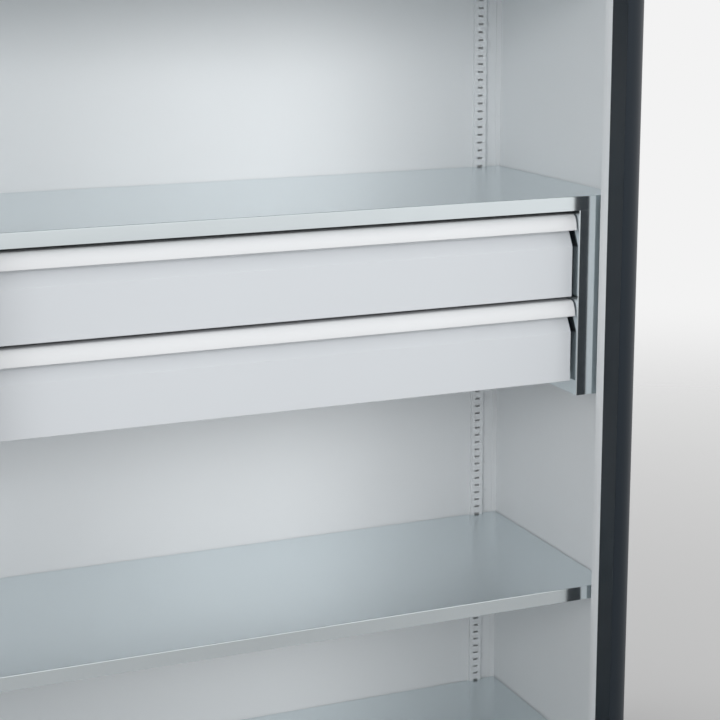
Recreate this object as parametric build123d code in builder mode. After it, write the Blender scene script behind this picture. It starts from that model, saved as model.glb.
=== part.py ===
from build123d import *
import os

os.makedirs("parts", exist_ok=True)

# Tall steel cabinet with shelves and a block of two drawers hung below one shelf.
# Millimetres. X is the width, Y runs from front to back, Z is up.
# The origin is on the floor, below the middle of the cabinet.

# Overall size
cabinet_width = 1200
cabinet_depth = 550
cabinet_height = 1950
plinth_height = 50

# Sheet thicknesses
casing_sheet = 1.5
lining_sheet = 1.2
shelf_sheet = 1.25
cheek_sheet = 1.5
drawer_sheet = 1.0
handle_sheet = 2.0
rail_sheet = 2.0
clip_sheet = 1.5
bend_radius = 1.8

# Front frame: rounded dark posts with light stiles behind them
post_width = 50
post_depth = 49
nose_radius = 46
stile_depth = 25
stile_bevel_length = 12
stile_bevel = 1.5

# Double walls: from the outer face to the inner face of a side, and of the back
side_wall = 6
back_wall = 7
panel_return = 15
lining_return = 10

# Plinth set in below the base
plinth_front_setback = 20
plinth_setback = 10
plinth_flange = 35

# Holes for anchoring the back to a wall
anchor_hole = 9
anchor_from_side = 100
anchor_from_top = 70

# Heights of the sill and the header, from the plinth and from the top
sill_height = 50
header_height = 50

# Slotted uprights that carry the shelves
slot_pitch = 15
slot_width = 10
slot_height = 3.5
slot_above_shelf = 2
upright_width = 25
upright_depth = 8
upright_from_wall = 47

# Shelf heights, counted in slots above the floor
lower_shelf_slots = 24
drawer_shelf_slots = 71
upper_shelf_slots = 97

# Shelves: trays turned down at the edges
shelf_edge = 25
shelf_return = 15
shelf_side_gap = 2
shelf_back_gap = 2
shelf_setback = 8
notch_gap = 1

# Clips that hook into the slots and carry a shelf
clip_width = 20
clip_drop = 20
clip_ledge = 18
tongue_gap = 0.25
tongue_reach = 3

# Cheeks at both ends of the drawer block
cheek_inset = 79.5
cheek_below_drawers = 17
cheek_wall_gap = 4
hook_margin = 25

# Drawers
drawer_levels = ("upper", "lower")
drawer_pitch = 150
drawer_top_gap = 8
front_gap = 6.5
front_side_gap = 5.5
front_setback = 13
front_return = 18
recess_depth = 13
recess_height = 32
crease_drop = 56
top_return = 14

# Handle strip: a convex lip along the whole front
handle_side_gap = 1.8
handle_lip = 7
handle_curve_back = 7
handle_drop = 26.5

# Drawer box
box_top_drop = 30
box_bottom_lift = 6
box_back_gap = 5
box_top_flange = 8
box_front_flange = 16

# Telescopic runners
runner_gap = 19
rail_height = 46
rail_depth = 13
rail_setback = 30
rail_back_gap = 10
rail_drop = 82
rail_clearance = 0.4

# Screws, studs and nuts
screw_radius = 2.5
screw_head_radius = 4.5
screw_head_height = 2.2
stud_radius = 2
nut_radius = 4
nut_height = 3.2
hole_clearance = 0.1
rail_screw_shares = (0.1, 0.5, 0.9)
stud_height_shares = (0.3, 0.8)

# One overrun for all cuts
cut_overrun = 5

# Planes of the casing
side_x = cabinet_width / 2
front_y = -cabinet_depth / 2
back_y = cabinet_depth / 2
body_low = plinth_height + casing_sheet
body_high = cabinet_height - casing_sheet
body_height = body_high - body_low
panel_x = side_x - casing_sheet
post_x = side_x - post_width
post_y = front_y + post_depth
nose = min(nose_radius, post_width - casing_sheet, post_depth - casing_sheet)

# Planes of the lining
inner_x = side_x - side_wall
inner_y = back_y - back_wall
stile_y = post_y + stile_depth
stile_slot_x = (post_x + inner_x) / 2
upright_x = inner_x - upright_from_wall
upright_y = inner_y - upright_depth
floor_level = plinth_height + sill_height
ceiling_level = cabinet_height - header_height
inside_height = ceiling_level - floor_level

# Shelves
shelf_x = inner_x - shelf_side_gap
shelf_front = stile_y + shelf_setback
shelf_back = inner_y - shelf_back_gap
lower_shelf_level = floor_level + lower_shelf_slots * slot_pitch
drawer_shelf_level = floor_level + drawer_shelf_slots * slot_pitch
upper_shelf_level = floor_level + upper_shelf_slots * slot_pitch

# Cheeks
cheek_x = inner_x - cheek_inset
cheek_outer_x = inner_x - cheek_wall_gap
cheek_front = shelf_front
cheek_back = upright_y
cheek_height = drawer_top_gap + len(drawer_levels) * drawer_pitch + cheek_below_drawers
cheek_high = drawer_shelf_level - shelf_edge
cheek_low = cheek_high - cheek_height

# Drawers and rails, seen from the side
front_height = drawer_pitch - front_gap
face_y = cheek_front + front_setback
recess_y = face_y + recess_depth
lip_y = face_y - handle_lip
curve_y = face_y + handle_curve_back
front_x = cheek_x - front_side_gap
handle_x = cheek_x - handle_side_gap
box_x = cheek_x - runner_gap
rail_front = face_y + rail_setback
rail_back = cheek_back - rail_back_gap
rail_length = rail_back - rail_front
box_back = rail_back - box_back_gap

# Rails, seen from the front: each one nests in the next
middle_x = cheek_x - rail_sheet - rail_clearance
middle_height = rail_height - 2 * (rail_sheet + rail_clearance)
inner_rail_x = middle_x - rail_sheet - rail_clearance
inner_rail_height = middle_height - 2 * (rail_sheet + rail_clearance)
rail_open_x = cheek_x - rail_depth
rail_screw_y = [rail_front + share * rail_length for share in rail_screw_shares]


def block(low, high, mode=Mode.ADD):
    """A square-edged block between its lowest and its highest corner."""
    with Locations(low):
        Box(
            high[0] - low[0],
            high[1] - low[1],
            high[2] - low[2],
            align=(Align.MIN, Align.MIN, Align.MIN),
            mode=mode,
        )


def area(low, high, mode=Mode.ADD):
    """A rectangle in a sketch between its lowest and its highest corner."""
    with Locations(low):
        Rectangle(high[0] - low[0], high[1] - low[1], align=(Align.MIN, Align.MIN), mode=mode)


def save(piece, name):
    """Label one finished piece and write its file."""
    piece.label = name
    export_step(piece, f"parts/{name}.step")


def save_both_sides(piece, name):
    """Write a right-hand piece, and its mirror image as the left-hand piece."""
    with BuildPart() as left:
        mirror(piece, about=Plane.YZ)
    save(piece, f"{name}_right")
    save(left.part, f"{name}_left")


# Front posts: closed tubes of folded sheet with a rounded outer front edge
with BuildPart() as front_post:
    with BuildSketch(Plane.XY.offset(body_low)) as post_section:
        area((post_x, front_y), (side_x, post_y))
        fillet(post_section.vertices().group_by(Axis.X)[-1].sort_by(Axis.Y)[0], nose)
        offset(amount=-casing_sheet, mode=Mode.SUBTRACT)
    extrude(amount=body_height)
save_both_sides(front_post.part, "front_post")

# Header and sill: square tubes that join the posts at the top and at the bottom
for rail_name, rail_low, rail_high in (
    ("front_header", ceiling_level, body_high),
    ("front_sill", body_low, floor_level),
):
    with BuildPart() as frame_rail:
        with BuildSketch(Plane.YZ.offset(-post_x)):
            area((front_y, rail_low), (post_y, rail_high))
            offset(amount=-casing_sheet, mode=Mode.SUBTRACT)
        extrude(amount=2 * post_x)
    save(frame_rail.part, rail_name)

# Side panels: outer sheets with a return behind the rim of the back panel
with BuildPart() as side_panel:
    with BuildSketch(Plane.XY.offset(body_low)):
        area((panel_x, post_y), (side_x, back_y))
        area((panel_x - panel_return, back_y - casing_sheet), (panel_x, back_y))
    extrude(amount=body_height)
save_both_sides(side_panel.part, "side_panel")

# Top and base panels: sheets over the whole outline, rounded like the posts
for panel_name, panel_level in (("top_panel", body_high), ("base_panel", plinth_height)):
    with BuildPart() as end_panel:
        with BuildSketch(Plane.XY.offset(panel_level)) as outline:
            Rectangle(cabinet_width, cabinet_depth)
            fillet(outline.vertices().group_by(Axis.Y)[0], nose)
        extrude(amount=casing_sheet)
    save(end_panel.part, panel_name)

# Plinth: four channels, open towards the middle, that the cabinet stands on
plinth_x = side_x - plinth_setback
plinth_front_y = front_y + plinth_front_setback
plinth_back_y = back_y - plinth_setback
plinth_end_front = plinth_front_y + plinth_flange
plinth_end_back = plinth_back_y - plinth_flange

with BuildPart() as plinth_front:
    block((-plinth_x, plinth_front_y, 0), (plinth_x, plinth_end_front, plinth_height))
    offset(amount=-casing_sheet, openings=plinth_front.faces().sort_by(Axis.Y)[-1])
save(plinth_front.part, "plinth_front")

with BuildPart() as plinth_rear:
    block((-plinth_x, plinth_end_back, 0), (plinth_x, plinth_back_y, plinth_height))
    offset(amount=-casing_sheet, openings=plinth_rear.faces().sort_by(Axis.Y)[0])
save(plinth_rear.part, "plinth_rear")

with BuildPart() as plinth_end:
    block((plinth_x - plinth_flange, plinth_end_front, 0), (plinth_x, plinth_end_back, plinth_height))
    offset(amount=-casing_sheet, openings=plinth_end.faces().sort_by(Axis.X)[0])
save_both_sides(plinth_end.part, "plinth")

# Back panel: a tray with its rim turned to the rear, and two holes for wall anchors
with BuildPart() as back_panel:
    block((-panel_x, inner_y, body_low), (panel_x, back_y - casing_sheet, body_high))
    offset(amount=-lining_sheet, openings=back_panel.faces().sort_by(Axis.Y)[-1])
    with BuildSketch(Plane.XZ.offset(-inner_y)):
        with Locations((0, cabinet_height - anchor_from_top)):
            with GridLocations(cabinet_width - 2 * anchor_from_side, 0, 2, 1):
                Circle(anchor_hole / 2)
    extrude(amount=cut_overrun, both=True, mode=Mode.SUBTRACT)
save(back_panel.part, "back_panel")

# Side linings: inner walls with a narrow return on the back panel
with BuildPart() as side_lining:
    with BuildSketch(Plane.XY.offset(body_low)):
        area((inner_x, post_y), (inner_x + lining_sheet, inner_y))
        area((inner_x - lining_return, inner_y - lining_sheet), (inner_x, inner_y))
    extrude(amount=body_height)
save_both_sides(side_lining.part, "side_lining")

# Slots stand in one column on every upright, level with each other
slot_rows = int(inside_height / slot_pitch)
slot_levels = [floor_level + slot_above_shelf + row * slot_pitch for row in range(slot_rows)]
slot_cut = 4 * lining_sheet

# Front stiles: channels behind the posts, bevelled beside the post, slotted on the inside
with BuildPart() as front_stile:
    bevel_y = post_y + stile_bevel_length
    stile_inner_y = stile_y - lining_sheet
    with BuildSketch(Plane.XY.offset(body_low)):
        with BuildLine():
            Polyline(
                (post_x + stile_bevel, post_y),
                (post_x, bevel_y),
                (post_x, stile_y),
                (inner_x, stile_y),
                (inner_x, post_y),
                (inner_x - lining_sheet, post_y),
                (inner_x - lining_sheet, stile_inner_y),
                (post_x + lining_sheet, stile_inner_y),
                (post_x + lining_sheet, bevel_y),
                (post_x + stile_bevel + lining_sheet, post_y),
                close=True,
            )
        make_face()
    extrude(amount=body_height)
    with Locations(*[(stile_slot_x, stile_y, level) for level in slot_levels]):
        Box(slot_width, slot_cut, slot_height, mode=Mode.SUBTRACT)
save_both_sides(front_stile.part, "front_stile")

# Lintel and threshold: channels between the stiles, behind the header and the sill
for rail_name, rail_low, rail_high in (
    ("front_lintel", ceiling_level, body_high),
    ("floor_threshold", body_low, floor_level),
):
    with BuildPart() as lining_rail:
        with BuildSketch(Plane.YZ.offset(-post_x)):
            area((post_y, rail_low), (stile_y, rail_high))
            area(
                (post_y, rail_low + lining_sheet),
                (stile_y - lining_sheet, rail_high - lining_sheet),
                mode=Mode.SUBTRACT,
            )
        extrude(amount=2 * post_x)
    save(lining_rail.part, rail_name)

# Roof lining: a tray below the top panel, with its rim turned up
with BuildPart() as roof_lining:
    block((-inner_x, stile_y, ceiling_level), (inner_x, inner_y - lining_sheet, body_high))
    offset(amount=-lining_sheet, openings=roof_lining.faces().sort_by(Axis.Z)[-1])
save(roof_lining.part, "roof_lining")

# Rear uprights: slotted channels on the back panel, standing on the floor tray
with BuildPart() as rear_upright:
    upright_low_x = upright_x - upright_width / 2
    upright_high_x = upright_x + upright_width / 2
    with BuildSketch(Plane.XY.offset(floor_level)):
        area((upright_low_x, upright_y), (upright_high_x, inner_y))
        area(
            (upright_low_x + lining_sheet, upright_y + lining_sheet),
            (upright_high_x - lining_sheet, inner_y),
            mode=Mode.SUBTRACT,
        )
    extrude(amount=inside_height)
    with Locations(*[(upright_x, upright_y, level) for level in slot_levels]):
        Box(slot_width, slot_cut, slot_height, mode=Mode.SUBTRACT)
save_both_sides(rear_upright.part, "rear_upright")

# Floor tray: turned down on all four sides, standing on the base panel
with BuildPart() as floor_tray:
    tray_front = stile_y + shelf_side_gap
    block((-shelf_x, tray_front, body_low), (shelf_x, shelf_back, floor_level))
    offset(amount=-shelf_sheet, openings=floor_tray.faces().sort_by(Axis.Z)[0])
save(floor_tray.part, "floor_tray")


# Shelves: trays turned down at the edges, notched round the rear uprights
def shelf(level):
    """One shelf with its top surface at the given level."""
    edge_low = level - shelf_edge
    with BuildPart() as tray:
        with BuildSketch(Plane.XY.offset(edge_low)):
            area((-shelf_x, shelf_front), (shelf_x, shelf_back))
            with GridLocations(2 * upright_x, 0, 2, 1):
                area(
                    (-upright_width / 2 - notch_gap, upright_y - notch_gap),
                    (upright_width / 2 + notch_gap, shelf_back),
                    mode=Mode.SUBTRACT,
                )
        extrude(amount=shelf_edge)
        top_edges = tray.edges().filter_by(Axis.X).group_by(Axis.Z)[-1]
        fillet(top_edges.sort_by(Axis.Y)[0], bend_radius)
        offset(amount=-shelf_sheet, openings=tray.faces().sort_by(Axis.Z)[0])
        block(
            (-shelf_x, shelf_front, edge_low),
            (shelf_x, shelf_front + shelf_return, edge_low + shelf_sheet),
        )
    return tray.part


save(shelf(lower_shelf_level), "lower_shelf")
save(shelf(drawer_shelf_level), "drawer_shelf")
save(shelf(upper_shelf_level), "upper_shelf")


# Shelf clips: bent angles with a tongue in a slot and a ledge below the shelf
def clips(level):
    """The four clips of one shelf, two on the stiles and two on the rear uprights."""
    ledge_high = level - shelf_edge
    slots_below = int((shelf_edge + slot_above_shelf) / slot_pitch) + 1
    tongue_level = level + slot_above_shelf - slots_below * slot_pitch
    tongue_high = slot_height / 2 - tongue_gap
    tongue_x = slot_width / 2 - tongue_gap
    with BuildPart() as group:
        for clip_x, seat_y, into in (
            (stile_slot_x, stile_y, 1),
            (-stile_slot_x, stile_y, 1),
            (upright_x, upright_y, -1),
            (-upright_x, upright_y, -1),
        ):
            plate_y = sorted((seat_y, seat_y + into * clip_sheet))
            ledge_y = sorted((seat_y, seat_y + into * clip_ledge))
            tongue_y = sorted((seat_y, seat_y - into * tongue_reach))
            low_x = clip_x - clip_width / 2
            high_x = clip_x + clip_width / 2
            block((low_x, plate_y[0], ledge_high - clip_drop), (high_x, plate_y[1], ledge_high))
            block((low_x, ledge_y[0], ledge_high - clip_sheet), (high_x, ledge_y[1], ledge_high))
            block(
                (clip_x - tongue_x, tongue_y[0], tongue_level - tongue_high),
                (clip_x + tongue_x, tongue_y[1], tongue_level + tongue_high),
            )
    return group.part


save(clips(lower_shelf_level), "lower_shelf_clips")
save(clips(upper_shelf_level), "upper_shelf_clips")

# Heights of the drawers and of their rails, from the top one down
handle_tops = [cheek_high - drawer_top_gap - row * drawer_pitch for row in range(len(drawer_levels))]
rail_levels = [top - rail_drop for top in handle_tops]

# Cheeks: folded sheets hung on the slots, which carry the shelf above and the rails
with BuildPart() as cheek:
    block((cheek_x, cheek_front, cheek_low), (cheek_x + cheek_sheet, cheek_back, cheek_high))
    block((cheek_x, cheek_front, cheek_low), (cheek_outer_x, cheek_front + cheek_sheet, cheek_high))
    block((cheek_x, cheek_front, cheek_high - cheek_sheet), (cheek_outer_x, cheek_back, cheek_high))
    block(
        (cheek_x, cheek_back - cheek_sheet, cheek_low),
        (upright_x + upright_width / 2, cheek_back, cheek_high),
    )
    front_corner = cheek.edges().filter_by(Axis.Z).group_by(Axis.X)[0].sort_by(Axis.Y)[0]
    fillet(front_corner, min(bend_radius, cheek_sheet))
    first_hook = int((shelf_edge + hook_margin) / slot_pitch) + 1
    last_hook = int((shelf_edge + cheek_height - hook_margin) / slot_pitch)
    for slots_below in (first_hook, last_hook):
        hook_level = drawer_shelf_level + slot_above_shelf - slots_below * slot_pitch
        hook_low = hook_level - slot_height / 2 + tongue_gap
        hook_high = hook_level + slot_height / 2 - tongue_gap
        hook_half = slot_width / 2 - tongue_gap
        block(
            (stile_slot_x - hook_half, stile_y - tongue_reach, hook_low),
            (stile_slot_x + hook_half, cheek_front, hook_high),
        )
        block(
            (upright_x - hook_half, cheek_back, hook_low),
            (upright_x + hook_half, cheek_back + tongue_reach, hook_high),
        )
    with BuildSketch(Plane.YZ.offset(cheek_x)):
        with Locations(*[(y, level) for y in rail_screw_y for level in rail_levels]):
            Circle(screw_radius + hole_clearance)
    extrude(amount=cheek_sheet, both=True, mode=Mode.SUBTRACT)
save_both_sides(cheek.part, "drawer_cheek")

# Cheek screws: heads on the wall side, shanks through the cheek into the outer rail
with BuildPart() as cheek_screws:
    head_x = cheek_x + cheek_sheet
    screw_places = [(y, level) for y in rail_screw_y for level in rail_levels]
    with BuildSketch(Plane.YZ.offset(head_x)):
        with Locations(*screw_places):
            Circle(screw_head_radius)
    extrude(amount=screw_head_height)
    with BuildSketch(Plane.YZ.offset(head_x)):
        with Locations(*screw_places):
            Circle(screw_radius)
    extrude(amount=-(cheek_sheet + rail_sheet))
    mirror(about=Plane.YZ)
save(cheek_screws.part, "cheek_screws")


def rail(open_x, web_x, height, level, screwed):
    """One channel rail along Y: its web is at web_x and its flanges reach to open_x."""
    low_x = min(open_x, web_x)
    high_x = max(open_x, web_x)
    toward_opening = rail_sheet if open_x > web_x else -rail_sheet
    hollow = sorted((open_x, web_x + toward_opening))
    with BuildPart() as channel:
        with BuildSketch(Plane.XZ.offset(-rail_back)):
            area((low_x, level - height / 2), (high_x, level + height / 2))
            area(
                (hollow[0], level - height / 2 + rail_sheet),
                (hollow[1], level + height / 2 - rail_sheet),
                mode=Mode.SUBTRACT,
            )
        extrude(amount=rail_length)
        if screwed:
            with BuildSketch(Plane.YZ.offset(web_x)):
                with Locations(*[(y, level) for y in rail_screw_y]):
                    Circle(screw_radius + hole_clearance)
            extrude(amount=rail_sheet, both=True, mode=Mode.SUBTRACT)
    return channel.part


# Drawers, each with its three pairs of nested rails
for drawer, top, rail_level in zip(drawer_levels, handle_tops, rail_levels):
    # Rails: the outer one is on the cheek, the inner one on the drawer, the middle one runs between
    outer_rail = rail(rail_open_x, cheek_x, rail_height, rail_level, True)
    save_both_sides(outer_rail, f"{drawer}_outer_rail")
    middle_rail = rail(rail_open_x, middle_x, middle_height, rail_level, False)
    save_both_sides(middle_rail, f"{drawer}_middle_rail")
    inner_rail = rail(inner_rail_x, box_x, inner_rail_height, rail_level, True)
    save_both_sides(inner_rail, f"{drawer}_inner_rail")

    # Front: one folded sheet with a finger recess along its top
    front_low = top - front_height
    crease_level = top - crease_drop
    recess_low = top - recess_height
    seat_level = top - handle_sheet
    with BuildPart() as drawer_front:
        with BuildSketch(Plane.YZ.offset(-front_x)):
            with BuildLine():
                FilletPolyline(
                    (face_y + front_return, front_low),
                    (face_y, front_low),
                    (face_y, crease_level),
                    (recess_y, recess_low),
                    (recess_y, seat_level),
                    (recess_y + top_return, seat_level),
                    radius=bend_radius,
                )
                offset(amount=drawer_sheet, side=Side.RIGHT)
            make_face()
        extrude(amount=2 * front_x)
        for end_x in (-front_x, front_x - drawer_sheet):
            block(
                (end_x, face_y + drawer_sheet, front_low + bend_radius),
                (end_x + drawer_sheet, face_y + front_return, crease_level - bend_radius),
            )
    save(drawer_front.part, f"{drawer}_drawer_front")

    # Handle: a strip on the top of the front, curved forward and down over the recess
    lip_level = top - handle_drop
    curve_depth = curve_y - lip_y
    strip_back = recess_y + top_return
    with BuildPart() as handle:
        with BuildSketch(Plane.YZ.offset(-handle_x)):
            with BuildLine():
                Line((strip_back, top), (curve_y, top))
                EllipticalCenterArc(
                    (curve_y, lip_level), curve_depth, handle_drop, start_angle=90, arc_size=90
                )
                Line((lip_y, lip_level), (lip_y + handle_sheet, lip_level))
                EllipticalCenterArc(
                    (curve_y, lip_level),
                    curve_depth - handle_sheet,
                    handle_drop - handle_sheet,
                    start_angle=90,
                    arc_size=90,
                )
                Line((curve_y, seat_level), (strip_back, seat_level))
                Line((strip_back, seat_level), (strip_back, top))
            make_face()
        extrude(amount=2 * handle_x)
    save(handle.part, f"{drawer}_drawer_handle")

    # Box sides: cut back behind the recess, flanged at the top and at the front
    box_low = front_low + box_bottom_lift
    box_top = top - box_top_drop
    box_front = face_y + drawer_sheet
    recess_back = recess_y + top_return
    flange_high = crease_level - bend_radius
    flange_low = box_low + drawer_sheet
    stud_x = box_x - drawer_sheet - box_front_flange / 2
    stud_levels = [flange_low + share * (flange_high - flange_low) for share in stud_height_shares]
    with BuildPart() as box_side:
        with BuildSketch(Plane.YZ.offset(box_x - drawer_sheet)):
            with BuildLine():
                Polyline(
                    (box_front, box_low),
                    (box_back, box_low),
                    (box_back, box_top),
                    (recess_back, box_top),
                    (box_front, flange_high),
                    close=True,
                )
            make_face()
        extrude(amount=drawer_sheet)
        block(
            (box_x, recess_back, box_top - drawer_sheet),
            (box_x + box_top_flange, box_back, box_top),
        )
        block(
            (box_x - drawer_sheet - box_front_flange, box_front, flange_low),
            (box_x - drawer_sheet, box_front + drawer_sheet, flange_high),
        )
        with BuildSketch(Plane.XZ.offset(-box_front)):
            with Locations(*[(stud_x, level) for level in stud_levels]):
                Circle(stud_radius + hole_clearance)
        extrude(amount=2 * drawer_sheet, both=True, mode=Mode.SUBTRACT)
        with BuildSketch(Plane.YZ.offset(box_x)):
            with Locations(*[(y, rail_level) for y in rail_screw_y]):
                Circle(screw_radius + hole_clearance)
        extrude(amount=2 * drawer_sheet, both=True, mode=Mode.SUBTRACT)
    save_both_sides(box_side.part, f"{drawer}_drawer_side")

    # Box bottom and back: plain sheets between the sides
    box_inner_x = box_x - drawer_sheet
    with BuildPart() as box_bottom:
        block((-box_inner_x, box_front, box_low), (box_inner_x, box_back, box_low + drawer_sheet))
    save(box_bottom.part, f"{drawer}_drawer_bottom")

    with BuildPart() as box_rear:
        block(
            (-box_inner_x, box_back - drawer_sheet, box_low + drawer_sheet),
            (box_inner_x, box_back, box_top),
        )
    save(box_rear.part, f"{drawer}_drawer_back")

    # Studs welded to the front, with nuts on the flanges of the sides
    with BuildPart() as front_nuts:
        nut_y = box_front + drawer_sheet
        with BuildSketch(Plane.XZ.offset(-nut_y)):
            with Locations(*[(stud_x, level) for level in stud_levels]):
                RegularPolygon(nut_radius, 6)
        extrude(amount=-nut_height)
        with BuildSketch(Plane.XZ.offset(-nut_y)):
            with Locations(*[(stud_x, level) for level in stud_levels]):
                Circle(stud_radius)
        extrude(amount=drawer_sheet)
        mirror(about=Plane.YZ)
    save(front_nuts.part, f"{drawer}_drawer_front_nuts")

    # Screws through the sides into the inner rails
    with BuildPart() as rail_screws:
        with BuildSketch(Plane.YZ.offset(box_inner_x)):
            with Locations(*[(y, rail_level) for y in rail_screw_y]):
                Circle(screw_head_radius)
        extrude(amount=-screw_head_height)
        with BuildSketch(Plane.YZ.offset(box_inner_x)):
            with Locations(*[(y, rail_level) for y in rail_screw_y]):
                Circle(screw_radius)
        extrude(amount=drawer_sheet + rail_sheet)
        mirror(about=Plane.YZ)
    save(rail_screws.part, f"{drawer}_drawer_rail_screws")
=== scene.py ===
from math import cos, radians, sin
import bpy
import bmesh
from mathutils import Matrix, Vector


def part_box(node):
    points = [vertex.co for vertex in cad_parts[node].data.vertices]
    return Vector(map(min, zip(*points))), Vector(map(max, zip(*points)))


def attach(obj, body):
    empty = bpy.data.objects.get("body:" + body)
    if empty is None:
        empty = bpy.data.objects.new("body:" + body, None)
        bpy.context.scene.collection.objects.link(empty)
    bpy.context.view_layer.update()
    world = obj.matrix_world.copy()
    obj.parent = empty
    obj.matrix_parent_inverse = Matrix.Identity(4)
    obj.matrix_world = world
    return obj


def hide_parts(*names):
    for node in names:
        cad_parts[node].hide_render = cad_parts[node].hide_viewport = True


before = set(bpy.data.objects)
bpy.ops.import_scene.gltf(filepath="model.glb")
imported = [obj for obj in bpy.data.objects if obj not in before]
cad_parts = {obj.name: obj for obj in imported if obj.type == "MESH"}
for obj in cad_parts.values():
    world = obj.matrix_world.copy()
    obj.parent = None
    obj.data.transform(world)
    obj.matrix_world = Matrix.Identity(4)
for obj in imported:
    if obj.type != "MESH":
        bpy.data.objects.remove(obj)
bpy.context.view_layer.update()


# Casing: the outer sheets, the plinth and the front frame with its rounded posts.
# Folded 1.5 mm steel sheet, spot-welded into one shell before painting.
# The paint is a satin anthracite powder coat, baked on, with a faint orange peel.
def srgb(red, green, blue):
    """A colour as a screen shows it, from 0 to 255, turned into Blender's linear values."""
    def linear(value):
        share = value / 255
        return share / 12.92 if share <= 0.04045 else ((share + 0.055) / 1.055) ** 2.4
    return (linear(red), linear(green), linear(blue), 1.0)


def new_group(name, inputs, outputs):
    """An empty shader node group with the named sockets, and its two end nodes."""
    group = bpy.data.node_groups.new(name, "ShaderNodeTree")
    for socket, kind, value in inputs:
        made = group.interface.new_socket(socket, in_out="INPUT", socket_type=kind)
        made.default_value = value
    for socket, kind in outputs:
        group.interface.new_socket(socket, in_out="OUTPUT", socket_type=kind)
    return group, group.nodes.new("NodeGroupInput"), group.nodes.new("NodeGroupOutput")


def add_noise(tree, vector, detail):
    """A noise texture on the given coordinates."""
    noise = tree.nodes.new("ShaderNodeTexNoise")
    noise.inputs["Detail"].default_value = detail
    tree.links.new(vector, noise.inputs["Vector"])
    return noise


noise_low = 0.3
noise_high = 0.7


def add_range(tree, value, low, high):
    """The noise value, which stays near its middle, spread out from low to high."""
    spread = tree.nodes.new("ShaderNodeMapRange")
    spread.inputs["From Min"].default_value = noise_low
    spread.inputs["From Max"].default_value = noise_high
    spread.inputs["To Min"].default_value = low
    spread.inputs["To Max"].default_value = high
    tree.links.new(value, spread.inputs["Value"])
    return spread.outputs["Result"]


def add_tint(tree, colour, factor):
    """The colour made lighter or darker by a factor."""
    tint = tree.nodes.new("ShaderNodeVectorMath")
    tint.operation = "SCALE"
    tree.links.new(colour, tint.inputs[0])
    tree.links.new(factor, tint.inputs["Scale"])
    return tint.outputs["Vector"]


coat_tones = (0.985, 1.015)
coat_glosses = (0.4, 0.46)
coat_peel_depth = 0.00002
coat_edge_radius = 0.0012
coat_skin, coat_in, coat_out = new_group(
    "powder coat skin",
    [
        ("Colour", "NodeSocketColor", (0.5, 0.5, 0.5, 1.0)),
        ("Peel Scale", "NodeSocketFloat", 420.0),
        ("Cloud Scale", "NodeSocketFloat", 2.2),
    ],
    [("Colour", "NodeSocketColor"), ("Roughness", "NodeSocketFloat"), ("Peel", "NodeSocketFloat")],
)
coat_place = coat_skin.nodes.new("ShaderNodeTexCoord").outputs["Object"]
coat_cloud = add_noise(coat_skin, coat_place, detail=3.0)
coat_skin.links.new(coat_in.outputs["Cloud Scale"], coat_cloud.inputs["Scale"])
coat_tone = add_range(coat_skin, coat_cloud.outputs["Fac"], *coat_tones)
coat_colour = add_tint(coat_skin, coat_in.outputs["Colour"], coat_tone)
coat_skin.links.new(coat_colour, coat_out.inputs["Colour"])
coat_gloss = add_range(coat_skin, coat_cloud.outputs["Fac"], *coat_glosses)
coat_skin.links.new(coat_gloss, coat_out.inputs["Roughness"])
coat_peel = add_noise(coat_skin, coat_place, detail=1.0)
coat_skin.links.new(coat_in.outputs["Peel Scale"], coat_peel.inputs["Scale"])
coat_skin.links.new(coat_peel.outputs["Fac"], coat_out.inputs["Peel"])


def new_surface(name, group):
    """A material with a Principled shader and one shared effect that feeds it."""
    material = bpy.data.materials.new(name)
    material.use_nodes = True
    tree = material.node_tree
    effect = tree.nodes.new("ShaderNodeGroup")
    effect.node_tree = group
    return material, tree, effect, tree.nodes["Principled BSDF"]


def add_bump(tree, height, depth, edge_radius, shader):
    """Raises the surface by a height scaled to a depth in metres, and rounds its sharp edges."""
    edges = tree.nodes.new("ShaderNodeBevel")
    edges.samples = 4
    edges.inputs["Radius"].default_value = edge_radius
    bump = tree.nodes.new("ShaderNodeBump")
    bump.inputs["Distance"].default_value = depth
    tree.links.new(edges.outputs["Normal"], bump.inputs["Normal"])
    tree.links.new(height, bump.inputs["Height"])
    tree.links.new(bump.outputs["Normal"], shader.inputs["Normal"])


def powder_coat(name, colour, shine):
    """A satin powder coat in one colour, with a specular level for its shine."""
    material, tree, skin, shader = new_surface(name, coat_skin)
    skin.inputs["Colour"].default_value = colour
    tree.links.new(skin.outputs["Colour"], shader.inputs["Base Color"])
    tree.links.new(skin.outputs["Roughness"], shader.inputs["Roughness"])
    shader.inputs["Specular IOR Level"].default_value = shine
    add_bump(tree, skin.outputs["Peel"], coat_peel_depth, coat_edge_radius, shader)
    return material


def finish(material, *names):
    """Gives every node whose name starts with one of the names its finish."""
    for node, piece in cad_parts.items():
        if node.startswith(names):
            piece.data.materials.clear()
            piece.data.materials.append(material)


anthracite = powder_coat("anthracite powder coat", colour=srgb(23, 32, 40), shine=0.3)
finish(
    anthracite,
    "side_panel",
    "front_post",
    "front_header",
    "front_sill",
    "top_panel",
    "base_panel",
    "plinth",
)


# Lining: back wall, side walls, roof, stiles behind the posts and slotted rear uprights.
# Folded 1.2 mm sheet, welded inside the casing.
# It is powder-coated in light grey, a shade cooler than white.
light_grey = powder_coat("light grey powder coat", colour=srgb(234, 237, 239), shine=0.4)
finish(
    light_grey,
    "back_panel",
    "side_lining",
    "roof_lining",
    "front_stile",
    "front_lintel",
    "floor_threshold",
    "rear_upright",
)


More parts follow.
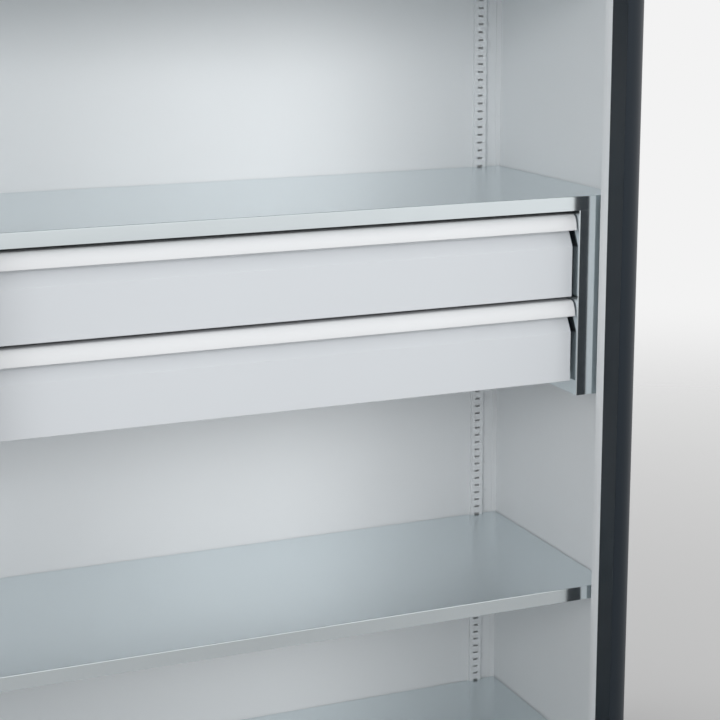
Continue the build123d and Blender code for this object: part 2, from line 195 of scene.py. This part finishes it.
# Floor tray, shelves, shelf clips and drawer cheeks: bare zinc-plated sheet, not painted.
# Cold-rolled along its length, so very fine streaks and faint clouds show in the bright plating.
# The shelves hang on clips in the slots, the cheeks hook into the same slots.
rolled_tones = (0.99, 1.01)
rolled_glosses = (0.115, 0.135)
rolled_scuff_share = 0.12
rolled_streak_depth = 0.0000003
rolled_edge_radius = 0.0004
rolled_skin, rolled_in, rolled_out = new_group(
    "rolled sheet",
    [
        ("Colour", "NodeSocketColor", (0.5, 0.5, 0.5, 1.0)),
        ("Streaks", "NodeSocketVector", (12.0, 1600.0, 1600.0)),
        ("Cloud Scale", "NodeSocketFloat", 14.0),
    ],
    [("Colour", "NodeSocketColor"), ("Roughness", "NodeSocketFloat"), ("Streak", "NodeSocketFloat")],
)
rolled_place = rolled_skin.nodes.new("ShaderNodeTexCoord").outputs["Object"]
rolled_stretch = rolled_skin.nodes.new("ShaderNodeVectorMath")
rolled_stretch.operation = "MULTIPLY"
rolled_skin.links.new(rolled_place, rolled_stretch.inputs[0])
rolled_skin.links.new(rolled_in.outputs["Streaks"], rolled_stretch.inputs[1])
rolled_streak = add_noise(rolled_skin, rolled_stretch.outputs["Vector"], detail=2.0)
rolled_streak.inputs["Scale"].default_value = 1.0
rolled_skin.links.new(rolled_streak.outputs["Fac"], rolled_out.inputs["Streak"])
rolled_cloud = add_noise(rolled_skin, rolled_place, detail=4.0)
rolled_skin.links.new(rolled_in.outputs["Cloud Scale"], rolled_cloud.inputs["Scale"])
rolled_tone = add_range(rolled_skin, rolled_cloud.outputs["Fac"], *rolled_tones)
rolled_colour = add_tint(rolled_skin, rolled_in.outputs["Colour"], rolled_tone)
rolled_skin.links.new(rolled_colour, rolled_out.inputs["Colour"])
rolled_gloss = add_range(rolled_skin, rolled_streak.outputs["Fac"], *rolled_glosses)
rolled_normal = rolled_skin.nodes.new("ShaderNodeTexCoord").outputs["Normal"]
rolled_facing = rolled_skin.nodes.new("ShaderNodeSeparateXYZ")
rolled_skin.links.new(rolled_normal, rolled_facing.inputs["Vector"])
rolled_scuff = rolled_skin.nodes.new("ShaderNodeMath")
rolled_scuff.operation = "MULTIPLY_ADD"
rolled_scuff.use_clamp = True
rolled_scuff.inputs[1].default_value = rolled_scuff_share
rolled_skin.links.new(rolled_facing.outputs["Z"], rolled_scuff.inputs[0])
rolled_skin.links.new(rolled_gloss, rolled_scuff.inputs[2])
rolled_skin.links.new(rolled_scuff.outputs["Value"], rolled_out.inputs["Roughness"])


def bare_metal(name, colour, streaks):
    """Plated or plain steel with rolling streaks of the given stretch."""
    material, tree, skin, shader = new_surface(name, rolled_skin)
    skin.inputs["Colour"].default_value = colour
    skin.inputs["Streaks"].default_value = streaks
    shader.inputs["Metallic"].default_value = 1.0
    tree.links.new(skin.outputs["Colour"], shader.inputs["Base Color"])
    tree.links.new(skin.outputs["Roughness"], shader.inputs["Roughness"])
    add_bump(tree, skin.outputs["Streak"], rolled_streak_depth, rolled_edge_radius, shader)
    return material


zinc = bare_metal("zinc-plated sheet", colour=srgb(226, 234, 237), streaks=(12.0, 1600.0, 1600.0))
finish(zinc, "floor_tray", "lower_shelf", "drawer_shelf", "upper_shelf", "drawer_cheek")


# Runners: outer, middle and inner rail on each side of each drawer.
# Rolled steel channels with a bright finish, streaked along their length.
# They are nested in each other, screwed to the cheek and to the drawer.
runner_steel = bare_metal("runner steel", colour=srgb(196, 199, 202), streaks=(1600.0, 12.0, 1600.0))
finish(
    runner_steel,
    *[f"{level}_{rail}_rail" for level in ("upper", "lower") for rail in ("outer", "middle", "inner")],
)


# Drawers: a folded front with a finger recess, a handle strip over it, and a box of thin sheet.
# The fronts and boxes are powder-coated a shade darker than the lining. The handle strips get the same grey
# paint made lighter, a painted highlight for the light that falls on them from above.
# Each front is held to its box by studs and nuts.
drawer_grey = powder_coat("drawer powder coat", colour=srgb(198, 202, 206), shine=0.4)
finish(drawer_grey, "upper_drawer", "lower_drawer")
# Handle strips: a lighter grey that paints in the highlight of light from above on their rounded tops.
handle_grey_painted_lighter = powder_coat("handle powder coat painted lighter for light from above", colour=srgb(212, 214, 216), shine=0.5)
finish(handle_grey_painted_lighter, "upper_drawer_handle", "lower_drawer_handle")


# Rail screws: pan heads with a cross recess inside the drawers and behind the cheeks.
# Cold-headed from wire and zinc-plated, so they show no rolling direction.
# They pass through the drawer sides or the cheeks and thread into the rails.
fastener_steel = bare_metal("fastener zinc", colour=srgb(190, 192, 194), streaks=(300.0, 300.0, 300.0))
finish(fastener_steel, "cheek_screws", "upper_drawer_rail_screws", "lower_drawer_rail_screws")
screw_head_radius = 0.0045
screw_head_height = 0.0022
screw_crown_share = 0.62
screw_shoulder_share = 0.45
screw_dome_angles = (30, 60)
screw_shank_radius = 0.0025
screw_tip_share = 0.7
screws_per_rail = 3
rail_levels = 2
drawer_grip = 0.003
cheek_grip = 0.0035
recess_arm = 0.0021
recess_half_width = 0.0005
recess_depth = 0.0012
recess_taper = 0.7
recess_arms = 4
round_segments = 32
crease_angle = radians(35)


def add_ring(shape, radius, height, segments):
    """A closed ring of points about Z."""
    turn = radians(360 / segments)
    return [
        shape.verts.new((radius * cos(step * turn), radius * sin(step * turn), height))
        for step in range(segments)
    ]


def bridge(shape, lower, upper):
    """A band of four-sided faces between two rings with as many points."""
    for place in range(len(lower)):
        shape.faces.new((lower[place - 1], lower[place], upper[place], upper[place - 1]))


def cross_screw(grip):
    """One screw about Z, with its seat at zero, its domed head above and its shank below."""
    shape = bmesh.new()
    tip_chamfer = screw_shank_radius * (1 - screw_tip_share)
    tip = add_ring(shape, screw_shank_radius * screw_tip_share, -grip, round_segments)
    shank = add_ring(shape, screw_shank_radius, tip_chamfer - grip, round_segments)
    neck = add_ring(shape, screw_shank_radius, 0.0, round_segments)
    seat = add_ring(shape, screw_head_radius, 0.0, round_segments)
    shoulder_height = screw_head_height * screw_shoulder_share
    shoulder = add_ring(shape, screw_head_radius, shoulder_height, round_segments)
    dome_steps = [radians(angle) for angle in screw_dome_angles]
    dome_width = screw_head_radius * (1 - screw_crown_share)
    dome_height = screw_head_height - shoulder_height
    dome = [
        add_ring(
            shape,
            screw_head_radius - dome_width * (1 - cos(angle)),
            shoulder_height + dome_height * sin(angle),
            round_segments,
        )
        for angle in dome_steps
    ]
    crown = add_ring(shape, screw_head_radius * screw_crown_share, screw_head_height, round_segments)
    bands = [tip, shank, neck, seat, shoulder, *dome, crown]
    for lower, upper in zip(bands, bands[1:]):
        bridge(shape, lower, upper)
    shape.faces.new(tip[::-1])

    quarter = [
        (recess_half_width, recess_half_width),
        (recess_half_width, recess_arm),
        (-recess_half_width, recess_arm),
    ]
    outline = []
    for step in range(recess_arms):
        spin = Matrix.Rotation(radians(360 * step / recess_arms), 3, "Z")
        outline += [spin @ Vector((x, y, screw_head_height)) for x, y in quarter]
    mouth = [shape.verts.new(point) for point in outline]
    recess_height = screw_head_height - recess_depth
    recess_floor = [
        shape.verts.new((point.x * recess_taper, point.y * recess_taper, recess_height)) for point in outline
    ]
    bridge(shape, recess_floor, mouth)
    shape.faces.new(recess_floor)
    rim = [edge for edge in shape.edges if edge.is_boundary]
    bmesh.ops.triangle_fill(shape, use_beauty=True, edges=rim)
    bmesh.ops.recalc_face_normals(shape, faces=shape.faces)
    mesh = bpy.data.meshes.new("cross_screw")
    shape.to_mesh(mesh)
    shape.free()
    return mesh


def set_out(name, template, places, material):
    """One smooth piece with a copy of a mesh at each place."""
    shape = bmesh.new()
    for place in places:
        known = len(shape.verts)
        shape.from_mesh(template)
        shape.verts.ensure_lookup_table()
        bmesh.ops.transform(shape, matrix=place, verts=shape.verts[known:])
    mesh = bpy.data.meshes.new(name)
    shape.to_mesh(mesh)
    shape.free()
    mesh.shade_smooth()
    mesh.materials.append(material)
    piece = bpy.data.objects.new(name, mesh)
    bpy.context.collection.objects.link(piece)
    return piece


def fasten(name, template, places, node, body):
    """Puts a fastener at each place, as one piece with sharp creases that stands for a node."""
    piece = set_out(name, template, places, fastener_steel)
    piece.data.set_sharp_from_angle(angle=crease_angle)
    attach(piece, body)
    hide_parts(node)


def both_sides(seat_x, facing, spots):
    """Places on the right and the left, with the head towards +X on the right if facing is 1."""
    places = []
    for side in (1, -1):
        turn = Matrix.Rotation(radians(90 * side * facing), 4, "Y")
        places += [Matrix.Translation((side * seat_x, y, z)) @ turn for y, z in spots]
    return places


def rows(low, high, margin, count):
    """Evenly spread values between two ends, each drawn in by a margin."""
    first = low + margin
    last = high - margin
    return [first + (last - first) * step / (count - 1) for step in range(count)]


drawer_screw = cross_screw(drawer_grip)
for level in ("upper", "lower"):
    low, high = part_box(f"{level}_drawer_rail_screws")
    rail_z = (low.z + high.z) / 2
    spots = [(y, rail_z) for y in rows(low.y, high.y, screw_head_radius, screws_per_rail)]
    fasten(
        f"{level}_drawer_cross_screws",
        drawer_screw,
        both_sides(high.x - drawer_grip, -1, spots),
        f"{level}_drawer_rail_screws",
        f"{level}_drawer",
    )
low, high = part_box("cheek_screws")
cheek_spots = [
    (y, z)
    for y in rows(low.y, high.y, screw_head_radius, screws_per_rail)
    for z in rows(low.z, high.z, screw_head_radius, rail_levels)
]
fasten(
    "cheek_cross_screws",
    cross_screw(cheek_grip),
    both_sides(high.x - screw_head_height, 1, cheek_spots),
    "cheek_screws",
    "cabinet",
)


# Front nuts: hexagon nuts on welded studs, which pull each front against its box.
# The nuts are chamfered on their outer side and the stud ends stand out of them.
# Both are zinc-plated steel.
nut_corners = 6
nuts_per_side = 2
nut_corner_radius = 0.004
nut_height = 0.0032
nut_chamfer = 0.0006
nut_crown_share = 0.84
stud_radius = 0.002
stud_end = 0.0018
stud_chamfer = 0.0004


def stud_nut():
    """One nut about Z with its seat at zero, and the end of its stud above."""
    shape = bmesh.new()
    points = 2 * nut_corners
    turn = radians(360 / points)
    flat_radius = nut_corner_radius * cos(turn)
    seat = []
    side = []
    for step in range(points):
        is_corner = step % 2 == 0
        radius = nut_corner_radius if is_corner else flat_radius
        height = nut_height - nut_chamfer if is_corner else nut_height
        spot = (radius * cos(step * turn), radius * sin(step * turn))
        seat.append(shape.verts.new((*spot, 0.0)))
        side.append(shape.verts.new((*spot, height)))
    crown = add_ring(shape, nut_corner_radius * nut_crown_share, nut_height, points)
    stud_foot = add_ring(shape, stud_radius, nut_height, points)
    stud_side = add_ring(shape, stud_radius, nut_height + stud_end - stud_chamfer, points)
    stud_top = add_ring(shape, stud_radius - stud_chamfer, nut_height + stud_end, points)
    bands = [seat, side, crown, stud_foot, stud_side, stud_top]
    for lower, upper in zip(bands, bands[1:]):
        bridge(shape, lower, upper)
    shape.faces.new(stud_top)
    shape.faces.new(seat[::-1])
    bmesh.ops.recalc_face_normals(shape, faces=shape.faces)
    mesh = bpy.data.meshes.new("stud_nut")
    shape.to_mesh(mesh)
    shape.free()
    return mesh


finish(fastener_steel, "upper_drawer_front_nuts", "lower_drawer_front_nuts")
nut = stud_nut()
nut_flat_radius = nut_corner_radius * cos(radians(180 / nut_corners))
turn_to_rear = Matrix.Rotation(radians(-90), 4, "X")
for level in ("upper", "lower"):
    low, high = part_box(f"{level}_drawer_front_nuts")
    nut_x = high.x - nut_corner_radius
    nut_seat = high.y - nut_height
    nut_places = [
        Matrix.Translation((side * nut_x, nut_seat, z)) @ turn_to_rear
        for side in (1, -1)
        for z in rows(low.z, high.z, nut_flat_radius, nuts_per_side)
    ]
    fasten(f"{level}_drawer_stud_nuts", nut, nut_places, f"{level}_drawer_front_nuts", f"{level}_drawer")


# Spot welds: shallow dishes down the folded rear edges of the side panels.
# The welding tips press them where the edge and the back panel are joined.
# They are painted over with the casing.
weld_radius = 0.0042
weld_rim_height = 0.00025
weld_dish_height = 0.00008
weld_pitch = 0.115
weld_end_margin = 0.05
weld_profile = (
    (1.0, 0.0),
    (0.88, weld_rim_height),
    (0.74, weld_rim_height),
    (0.5, weld_dish_height),
)


def weld_dish():
    """One dish about Z, with a raised rim and a nearly flat middle."""
    shape = bmesh.new()
    bands = [
        add_ring(shape, weld_radius * share, height, round_segments) for share, height in weld_profile
    ]
    for lower, upper in zip(bands, bands[1:]):
        bridge(shape, lower, upper)
    shape.faces.new(bands[-1])
    shape.faces.new(bands[0][::-1])
    bmesh.ops.recalc_face_normals(shape, faces=shape.faces)
    mesh = bpy.data.meshes.new("weld_dish")
    shape.to_mesh(mesh)
    shape.free()
    return mesh


edge_low, edge_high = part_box("side_panel_right")
weld_x = (edge_low.x + edge_high.x) / 2
weld_count = round((edge_high.z - edge_low.z - 2 * weld_end_margin) / weld_pitch) + 1
weld_places = [
    Matrix.Translation((side * weld_x, edge_high.y, z)) @ turn_to_rear
    for side in (1, -1)
    for z in rows(edge_low.z, edge_high.z, weld_end_margin, weld_count)
]
rear_spot_welds = set_out("rear_spot_welds", weld_dish(), weld_places, anthracite)
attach(rear_spot_welds, "cabinet")


# Studio: a plain pale floor, a pale surrounding and large soft lamps on all sides.
# The floor is a wide disc that fades into the surrounding before its rim.
studio_white = srgb(243, 243, 243)
world_light = 0.72
world_seen = 1.0
floor_radius = 9.0
floor_segments = 96
floor_solid_radius = 2.6
floor_fade_radius = 6.8
floor_middle_y = -1.8
floor_mesh = bpy.data.meshes.new("studio_floor")
floor_shape = bmesh.new()
bmesh.ops.create_circle(floor_shape, cap_ends=True, segments=floor_segments, radius=floor_radius)
floor_shape.to_mesh(floor_mesh)
floor_shape.free()
floor = bpy.data.objects.new("studio_floor", floor_mesh)
bpy.context.collection.objects.link(floor)
floor.location.y = floor_middle_y
floor_paint = bpy.data.materials.new("studio floor")
floor_paint.use_nodes = True
floor.data.materials.append(floor_paint)
floor_tree = floor_paint.node_tree
floor_shader = floor_tree.nodes["Principled BSDF"]
floor_shader.inputs["Base Color"].default_value = srgb(202, 202, 202)
floor_shader.inputs["Roughness"].default_value = 0.9
floor_place = floor_tree.nodes.new("ShaderNodeTexCoord")
floor_distance = floor_tree.nodes.new("ShaderNodeVectorMath")
floor_distance.operation = "LENGTH"
floor_tree.links.new(floor_place.outputs["Object"], floor_distance.inputs[0])
floor_fade = floor_tree.nodes.new("ShaderNodeMapRange")
floor_fade.interpolation_type = "SMOOTHSTEP"
floor_fade.inputs["From Min"].default_value = floor_fade_radius
floor_fade.inputs["From Max"].default_value = floor_solid_radius
floor_tree.links.new(floor_distance.outputs["Value"], floor_fade.inputs["Value"])
floor_tree.links.new(floor_fade.outputs["Result"], floor_shader.inputs["Alpha"])

world = bpy.data.worlds.new("studio")
world.use_nodes = True
bpy.context.scene.world = world
world_tree = world.node_tree
surrounding = world_tree.nodes["Background"]
surrounding.inputs["Color"].default_value = studio_white
light_path = world_tree.nodes.new("ShaderNodeLightPath")
seen = world_tree.nodes.new("ShaderNodeMath")
seen.operation = "MAXIMUM"
world_tree.links.new(light_path.outputs["Is Camera Ray"], seen.inputs[0])
world_tree.links.new(light_path.outputs["Is Glossy Ray"], seen.inputs[1])
seen_through = world_tree.nodes.new("ShaderNodeMath")
seen_through.operation = "MAXIMUM"
world_tree.links.new(seen.outputs["Value"], seen_through.inputs[0])
world_tree.links.new(light_path.outputs["Is Transmission Ray"], seen_through.inputs[1])
world_strength = world_tree.nodes.new("ShaderNodeMapRange")
world_strength.inputs["To Min"].default_value = world_light
world_strength.inputs["To Max"].default_value = world_seen
world_tree.links.new(seen_through.outputs["Value"], world_strength.inputs["Value"])
world_tree.links.new(world_strength.outputs["Result"], surrounding.inputs["Strength"])


def soft_lamp(name, place, aim, width, height, spread, watts):
    """A rectangular soft lamp at a place, which shines at an aim within its spread."""
    light = bpy.data.lights.new(name, "AREA")
    light.shape = "RECTANGLE"
    light.size = width
    light.size_y = height
    light.spread = radians(spread)
    light.energy = watts
    lamp = bpy.data.objects.new(name, light)
    bpy.context.collection.objects.link(lamp)
    lamp.location = place
    lamp.visible_camera = False
    lamp.visible_glossy = False
    lamp.rotation_euler = (Vector(aim) - Vector(place)).to_track_quat("-Z", "Y").to_euler()


soft_lamp(
    "front_left_softbox",
    place=(-2.6, -3.0, 1.95),
    aim=(0.3, 0.0, 1.15),
    width=2.4,
    height=1.6,
    spread=54.0,
    watts=6.0,
)
soft_lamp(
    "front_softbox",
    place=(0.2, -3.8, 1.95),
    aim=(0.0, 0.0, 1.15),
    width=2.4,
    height=1.6,
    spread=54.0,
    watts=1.0,
)
soft_lamp(
    "front_right_softbox",
    place=(1.6, -3.5, 1.95),
    aim=(-0.2, 0.0, 1.15),
    width=2.4,
    height=1.6,
    spread=54.0,
    watts=8.0,
)
soft_lamp(
    "left_softbox",
    place=(-4.0, 1.2, 2.0),
    aim=(0.0, 0.3, 1.0),
    width=2.6,
    height=2.2,
    spread=120.0,
    watts=24.0,
)
soft_lamp(
    "right_softbox",
    place=(4.0, 1.2, 2.0),
    aim=(0.0, 0.3, 1.0),
    width=2.6,
    height=2.2,
    spread=120.0,
    watts=24.0,
)
soft_lamp(
    "rear_softbox",
    place=(0.0, 3.6, 3.0),
    aim=(0.0, 0.4, 1.0),
    width=3.4,
    height=2.4,
    spread=140.0,
    watts=6.0,
)


# Camera: stands to the left of the open front and looks down into the right half.
# It is turned and pitched without a lens shift, so that it can also go round the object.
camera_place = Vector((-0.9788, -2.8347, 1.5689))
camera_turn = radians(22.35)
camera_pitch = radians(12.87)
camera_roll = radians(-0.36)
camera_data = bpy.data.cameras.new("camera")
camera_data.lens = 88.86
camera = bpy.data.objects.new("camera", camera_data)
bpy.context.collection.objects.link(camera)
look_ahead = cos(camera_pitch)
look = Vector((sin(camera_turn) * look_ahead, cos(camera_turn) * look_ahead, -sin(camera_pitch)))
level_right = Vector((cos(camera_turn), -sin(camera_turn), 0.0))
level_up = level_right.cross(look)
right = cos(camera_roll) * level_right + sin(camera_roll) * level_up
up = cos(camera_roll) * level_up - sin(camera_roll) * level_right
camera.matrix_world = Matrix((right, up, -look)).transposed().to_4x4()
camera.location = camera_place
bpy.context.scene.camera = camera
bpy.context.scene.view_settings.view_transform = "Standard"
